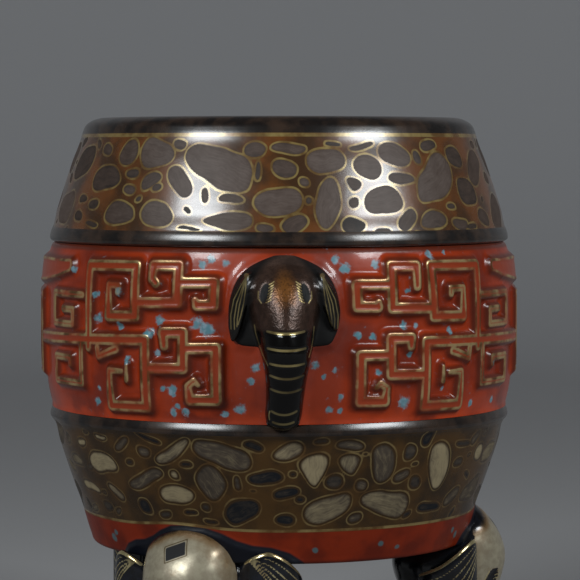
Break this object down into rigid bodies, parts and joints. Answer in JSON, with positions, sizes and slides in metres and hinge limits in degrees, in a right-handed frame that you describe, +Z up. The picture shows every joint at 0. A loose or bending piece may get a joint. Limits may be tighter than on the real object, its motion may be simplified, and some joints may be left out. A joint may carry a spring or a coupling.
{
  "type": "tripod incense burner",
  "caption": "Barrel-shaped glazed ceramic incense burner with a scroll in low relief round its belly, elephant-head handles and elephant-head feet.",
  "frame": {"origin": "on the ground, on the barrel's axis", "axes": "+Z up along the barrel's axis, -Y towards one handle and +Y towards the other, +X towards the foot that stands alone"},
  "size_m": [0.15, 0.1774, 0.1805],
  "materials": {
    "glazed_porcelain": "glossy coral-red and bronze-brown glazes with gold lines on porcelain"
  },
  "bodies": {
    "root": {"incense_burner": "glazed_porcelain"}
  },
  "joints": []
}
